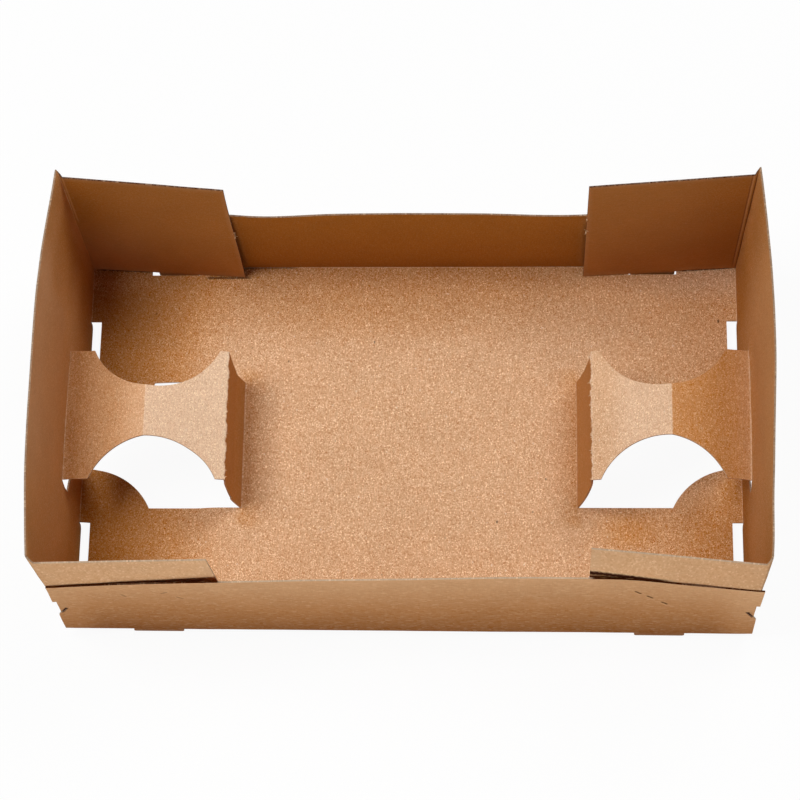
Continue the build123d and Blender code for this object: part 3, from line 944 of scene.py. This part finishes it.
def kraft_face(name, lit_to_shaded, fineness, stretch, streaks, offset, roughness, strokes):
    """One face of the kraft board: its colour in full light, in half painted shade and in deepest painted shade, how
    its pulp shows, and the strokes on it, each with its middle on the blank, reach, breadth, turn, tint and
    strength."""
    material, tree, shader = start_material(name, board_specular)
    flat = add_node(tree, "ShaderNodeUVMap", uv_map="blank").outputs[0]
    place = vector_node(tree, "ADD", flat, offset)
    painted_shade, grain, cut, fold = [
        add_node(tree, "ShaderNodeAttribute", attribute_name=mask).outputs["Fac"]
        for mask in ("painted_shade", "grain", "cut", "crease")
    ]
    paper = place_group(tree, pulp, place, Stretch=stretch, Fineness=fineness)
    # The ramp runs from the board's colour in full light to its colour in deep painted shade.
    ramp = add_node(tree, "ShaderNodeValToRGB", {"Fac": painted_shade})
    stops = ramp.color_ramp.elements
    pale, middling, deep = [(*colour, 1) for colour in lit_to_shaded]
    stops[0].color, stops[1].color = pale, deep
    stops.new(0.5).color = middling
    streak, cloud = times(tree, paper["Streak"], streaks), times(tree, paper["Cloud"], 0.07)
    shade = math_node(tree, "ADD", math_node(tree, "ADD", streak, cloud), 1.0)
    colour = vector_node(tree, "SCALE", ramp.outputs[0], shade)
    gritty = times(tree, paper["Grit"], times(tree, grain, grit_strength))
    colour = vector_node(tree, "ADD", colour, vector_node(tree, "SCALE", (0.60, 0.65, 0.50), gritty))
    colour = vector_node(tree, "MAXIMUM", colour, (0.02, 0.01, 0.004))
    drawn = vector_node(tree, "MULTIPLY", place, (1.0, 0.6, 1))
    for spacing, share, size, strength, tint in (
        (6.0, 0.18, 0.62, 0.85, (0.10, 0.045, 0.02)), (2.2, 0.24, 0.42, 0.6, (0.97, 0.84, 0.68)),
    ):
        fleck = place_group(tree, flecks, drawn, Spacing=spacing, Share=share, Size=size)
        colour = blend_colour(tree, times(tree, fleck["Mask"], times(tree, grain, strength)), colour, tint)
    worn = times(tree, math_node(tree, "MAXIMUM", fold, 0.0), spread(tree, paper["Grit"], -0.6, 0.6, 0.1, 0.75))
    colour = blend_colour(tree, worn, colour, (0.95, 0.74, 0.54))
    # A fold mask below 0 blends in a painted shade.
    shaded_fold = times(tree, math_node(tree, "MINIMUM", fold, 0.0), -0.85)
    colour = blend_colour(tree, shaded_fold, colour, (0.13, 0.045, 0.01))
    colour = blend_colour(tree, times(tree, cut, 0.15), colour, (0.72, 0.50, 0.32))
    for middle, reach, breadth, turn, tint, strength in strokes:
        mark = place_group(
            tree, stroke, flat, Middle=(*middle, 0), Reach=reach, Breadth=breadth, Turn=math.radians(turn)
        )
        colour = blend_colour(tree, times(tree, mark["Mask"], strength), colour, tint)
    tree.links.new(colour, shader.inputs["Base Color"])
    rough = spread(tree, paper["Grit"], -1.0, 1.0, roughness - 0.06, roughness + 0.06)
    tree.links.new(rough, shader.inputs["Roughness"])
    raised = math_node(tree, "ADD", paper["Grit"], times(tree, paper["Streak"], 0.4))
    bump = add_node(tree, "ShaderNodeBump", {"Strength": 0.3, "Distance": 0.0001, "Height": raised})
    tree.links.new(bump.outputs[0], shader.inputs["Normal"])
    return material


# Three finishes: the rough inner liner, the smoother and paler outer liner, and the core that shows on the die-cut
# edges. The strokes on the liners are painted light and shade: painted shadows along gaps, under feet and in slits,
# and a painted highlight beside a painted shade at the back corners' folds and at the dents and press dashes on the
# front wall.
# Tints for the strokes: a pale one for painted highlights, a brown one for painted shade at folds and dents, and two
# near blacks mostly for painted shadows.
press_shade, press_highlight = (0.20, 0.08, 0.03), (0.74, 0.42, 0.19)
deep_shade, gap_shadow = (0.09, 0.03, 0.008), (0.035, 0.007, 0.001)
# Inside: a painted highlight beside a painted shade along the back right corner's fold, a painted highlight in the
# back left corner, and painted shadows on the back wall beside the back flaps' free edges, on the floor along the
# back flaps' feet and along the back wall's foot.
inner_strokes = [
    ((215, 94.35), 56, 0.6, 0, press_highlight, 0.5), ((215, 95.1), 56, 0.45, 0, press_shade, 0.55),
    ((-239, 94.2), 27, 0.55, 0, press_highlight, 0.35),
    ((-84.9, 132), 38, 2.9, 91.4, gap_shadow, 0.5), ((84.4, 124), 30, 2.4, 90, gap_shadow, 0.25),
    ((-91.5, 88.1), 12, 0.9, 0, gap_shadow, 0.75), ((-71.5, 93.7), 15, 1.0, 0, gap_shadow, 0.5),
]
for side in (-1, 1):
    inner_strokes += [
        ((side * 143.5, 92.75), 14, 1.25, side * 3.27, deep_shade, 0.85),
        ((side * 95.5, 90.0), 11, 0.9, side * 3.27, deep_shade, 0.6),
    ]
# Outside: painted shadows in the front wall's slits and on the front right flap just above the wall's top.
outer_strokes = [((side * 157.7, -125.0), 4.4, 1.1, 90 - side * 24, gap_shadow, 1.0) for side in (-1, 1)]
outer_strokes += [((228.6, -158), 29, 3.3, 97, gap_shadow, 1.0)]
# Press dashes on the right of the front wall and dents on its left, each drawn as a pale painted highlight beside a
# dark stroke of painted shade, which on the dashes is also the mark's own dark colour.
for u, v in ((105.9, -146.6), (111.4, -142.0), (118.1, -135.0)):
    outer_strokes += [((u - 0.3, v + 1.0), 2.6, 0.6, 42, press_highlight, 0.6), ((u, v), 2.3, 0.8, 42, deep_shade, 0.9)]
for u, v, turn in ((-127.6, -145.5, 60), (-109.0, -148.0, -35), (-102.6, -141.0, 40)):
    outer_strokes += [
        ((u + 0.8, v - 0.8), 2.4, 0.8, turn, press_highlight, 0.4), ((u, v), 2.2, 0.8, turn, press_shade, 0.5),
    ]
inside_liner = kraft_face(
    "kraft_inner_liner", lit_to_shaded=((0.845, 0.578, 0.385), (0.64, 0.305, 0.115), (0.40, 0.147, 0.019)), fineness=2.9,
    stretch=(1, 0.8, 1), streaks=0.13, offset=(0, 0, 0), roughness=0.80, strokes=inner_strokes
)
outside_liner = kraft_face(
    "kraft_outer_liner", lit_to_shaded=((0.80, 0.465, 0.24), (0.51, 0.235, 0.088), (0.24, 0.08, 0.017)), fineness=1.2,
    stretch=(0.45, 1, 1), streaks=0.07, offset=(900, 400, 0), roughness=0.68, strokes=outer_strokes
)
core, tree, shader = start_material("kraft_cut_edge", board_specular)
flat = add_node(tree, "ShaderNodeUVMap", uv_map="blank").outputs[0]
paper = place_group(tree, pulp, flat, Stretch=(1, 1, 1), Fineness=1.5)
# The edge attribute is painted shade, which blends the core from cream to nearly black.
painted_shade = add_node(tree, "ShaderNodeAttribute", attribute_name="edge").outputs["Fac"]
shade = math_node(tree, "ADD", painted_shade, times(tree, paper["Grit"], -0.14), clamp=True)
tree.links.new(blend_colour(tree, shade, (0.92, 0.68, 0.46), (0.075, 0.016, 0.002)), shader.inputs["Base Color"])
for material in (inside_liner, outside_liner, core):
    tray_mesh.materials.append(material)
side_of = np.zeros(len(tray_mesh.polygons), dtype=np.int32)
side_of[len(triangles):] = 1
side_of[2 * len(triangles):] = 2
tray_mesh.polygons.foreach_set("material_index", side_of)
tray_mesh.shade_smooth()
tray_mesh.set_sharp_from_angle(angle=math.radians(42))
tray_mesh.update()

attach(tray, "root")
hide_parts("tray_sheet")

# Torn fibres: the score lines of the pop-up folds break the top liner, and the die leaves small
# nicks on cut edges, where short pale fibres of the same pulp stand out.
fibre_tree = bpy.data.node_groups.new("torn_fibres", "GeometryNodeTree")
for title, kind in {
    "Line": "Geometry", "Spacing": "Float", "Length": "Float", "Breadth": "Float", "Stray": "Float",
    "Share": "Float", "Seed": "Int", "Pulp": "Material",
}.items():
    fibre_tree.interface.new_socket(title, in_out="INPUT", socket_type="NodeSocket" + kind)
fibre_tree.interface.new_socket("Fibres", in_out="OUTPUT", socket_type="NodeSocketGeometry")
given = fibre_tree.nodes.new("NodeGroupInput").outputs
result = fibre_tree.nodes.new("NodeGroupOutput").inputs


def random_node(kind, inputs):
    """A random value of its own for each fibre, drawn from the seed given."""
    return add_node(fibre_tree, "FunctionNodeRandomValue", {**inputs, "Seed": given["Seed"]}, data_type=kind).outputs


line = add_node(fibre_tree, "GeometryNodeMeshToCurve", {"Mesh": given["Line"]}).outputs[0]
roots = add_node(fibre_tree, "GeometryNodeCurveToPoints", {"Curve": line, "Length": given["Spacing"]}, mode="LENGTH")
both_ways = vector_node(fibre_tree, "SCALE", (1, 1, 1), given["Stray"])
other_way = vector_node(fibre_tree, "SCALE", both_ways, -1.0)
strayed = random_node("FLOAT_VECTOR", {0: other_way, 1: both_ways})[0]
scattered = add_node(fibre_tree, "GeometryNodeSetPosition", {"Geometry": roots.outputs[0], "Offset": strayed})
fibre = add_node(
    fibre_tree, "GeometryNodeMeshCone",
    {"Vertices": 5, "Radius Top": 0.00004, "Radius Bottom": given["Breadth"], "Depth": given["Length"]}
)
set_out = add_node(
    fibre_tree, "GeometryNodeInstanceOnPoints",
    {
        "Points": scattered.outputs[0], "Instance": fibre.outputs["Mesh"],
        "Selection": random_node("BOOLEAN", {"Probability": given["Share"]})[3],
        "Rotation": random_node("FLOAT_VECTOR", {0: (-2.2, -2.2, -3.1), 1: (2.2, 2.2, 3.1)})[0],
        "Scale": random_node("FLOAT", {2: 0.4, 3: 1.3})[1],
    }
)
real = add_node(fibre_tree, "GeometryNodeRealizeInstances", {"Geometry": set_out.outputs[0]})
papered = add_node(fibre_tree, "GeometryNodeSetMaterial", {"Geometry": real.outputs[0], "Material": given["Pulp"]})
fibre_tree.links.new(papered.outputs[0], result[0])

fibre_pulp, tree, shader = start_material("torn_fibre_pulp", 0.0)
place = add_node(tree, "ShaderNodeTexCoord").outputs["Object"]
tufts = spread(tree, noise_node(tree, place, 900.0, 2)[0], 0.35, 0.65)
tree.links.new(blend_colour(tree, tufts, (0.74, 0.45, 0.22), (0.97, 0.75, 0.50)), shader.inputs["Base Color"])


def tear(name, rows, lift, **values):
    """Makes one plain mesh of torn fibres along rows of the sheet's points."""
    stands, steps = [], []
    for row in rows:
        first = len(stands)
        stands += [tuple((spots[i] + normals[i] * lift) / 1000) for i in row]
        steps += [(first + k, first + k + 1) for k in range(len(row) - 1)]
    path = bpy.data.meshes.new(name)
    path.from_pydata(stands, steps, [])
    maker = put_in(name + "_line", path)
    modifier = maker.modifiers.new("torn_fibres", "NODES")
    modifier.node_group = fibre_tree
    for item in fibre_tree.interface.items_tree:
        if item.name in values:
            modifier[item.identifier] = values[item.name]
    made = bpy.data.meshes.new_from_object(maker.evaluated_get(bpy.context.evaluated_depsgraph_get()))
    maker.modifiers.clear()
    bpy.data.objects.remove(maker)
    made.name = name
    piece = put_in(name, made)
    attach(piece, "root")


fold_rows = []
for side in (-1, 1):
    for run in (fold_runs[1], fold_runs[3]):
        on_fold = np.abs(flat_place[:, 0] - side * (riser_x + run)) < 0.06
        row = np.nonzero(on_fold & (z > shelf_z) & on_base)[0]
        row = row[np.argsort(flat_place[row, 1])]
        cuts = np.nonzero(np.diff(flat_place[row, 1]) > 2.5)[0] + 1
        fold_rows += [part for part in np.split(row, cuts) if len(part) > 2]
tear(
    "fold_fibres", fold_rows, 0.36, Spacing=0.0006, Length=0.0010, Breadth=0.00022, Stray=0.00035, Share=0.85,
    Seed=4, Pulp=fibre_pulp
)
nick_rows = []
for side, levels in ((-1, (55, 60)), (1, (58, 77))):
    free_edge = on_band & (x * side > 0) & (across < 90) & (y > 80) & (cut_mask > 0.5)
    for level in levels:
        row = np.nonzero(free_edge & (np.abs(z - level) < 4.5))[0]
        nick_rows.append(row[np.argsort(z[row])][:2])
tear(
    "edge_nicks", nick_rows, 0.0, Spacing=0.0006, Length=0.0014, Breadth=0.0002, Stray=0.0004, Share=0.7, Seed=11,
    Pulp=fibre_pulp
)

# The studio's floor: a plain pale sheet under the tray, seen as white, which keeps a faint shadow.
# It is no part of the tray.
floor_mesh = bpy.data.meshes.new("studio_floor")
floor_mesh.from_pydata([(-4, -4, 0), (4, -4, 0), (4, 4, 0), (-4, 4, 0)], [], [(0, 1, 2, 3)])
studio_floor = put_in("studio_floor", floor_mesh)


def seen_directly(tree):
    """1 for the rays that the camera sees, also through glass or in a reflection."""
    path = add_node(tree, "ShaderNodeLightPath").outputs
    seen = math_node(tree, "MAXIMUM", path["Is Camera Ray"], path["Is Glossy Ray"])
    return math_node(tree, "MAXIMUM", seen, path["Is Transmission Ray"])


paper_sheet, tree, shader = start_material("studio_floor", 0.0)
shader.inputs["Base Color"].default_value = (0.95, 0.95, 0.95, 1)
glow = add_node(tree, "ShaderNodeEmission", {"Color": (1, 1, 1, 1), "Strength": 1.0})
seen = times(tree, seen_directly(tree), 0.94)
mixed = add_node(tree, "ShaderNodeMixShader", {0: seen, 1: shader.outputs[0], 2: glow.outputs[0]})
tree.links.new(mixed.outputs[0], tree.nodes["Material Output"].inputs["Surface"])
floor_mesh.materials.append(paper_sheet)


# Soft studio light: two broad overhead softboxes, one to the left and one behind on the right,
# a low fill in front, and a white room that is seen but hardly lights the tray.
def softbox(name, place, size, energy):
    light = bpy.data.lights.new(name, "AREA")
    light.shape = "SQUARE"
    light.size = size
    light.energy = energy
    lamp = put_in(name, light)
    lamp.location = place
    lamp.rotation_euler = (Vector((0, 0, 0.05)) - Vector(place)).to_track_quat("-Z", "Y").to_euler()


softbox("softbox_left", (-0.6, 0.0, 1.4), 0.6, 12.6)
softbox("softbox_back_right", (0.6, 0.6, 1.4), 0.8, 9.6)
softbox("fill_front", (0.0, -1.3, 0.35), 0.6, 4.8)

world = bpy.data.worlds.new("studio")
bpy.context.scene.world = world
world.use_nodes = True
tree = world.node_tree
room = tree.nodes["Background"]
room.inputs["Color"].default_value = (1, 1, 1, 1)
room.inputs["Strength"].default_value = 0.06
white = add_node(tree, "ShaderNodeBackground", {"Color": (1, 1, 1, 1), "Strength": 1.0})
mixed = add_node(tree, "ShaderNodeMixShader", {0: seen_directly(tree), 1: room.outputs[0], 2: white.outputs[0]})
tree.links.new(mixed.outputs[0], tree.nodes["World Output"].inputs["Surface"])

bpy.context.scene.view_settings.view_transform = "Standard"
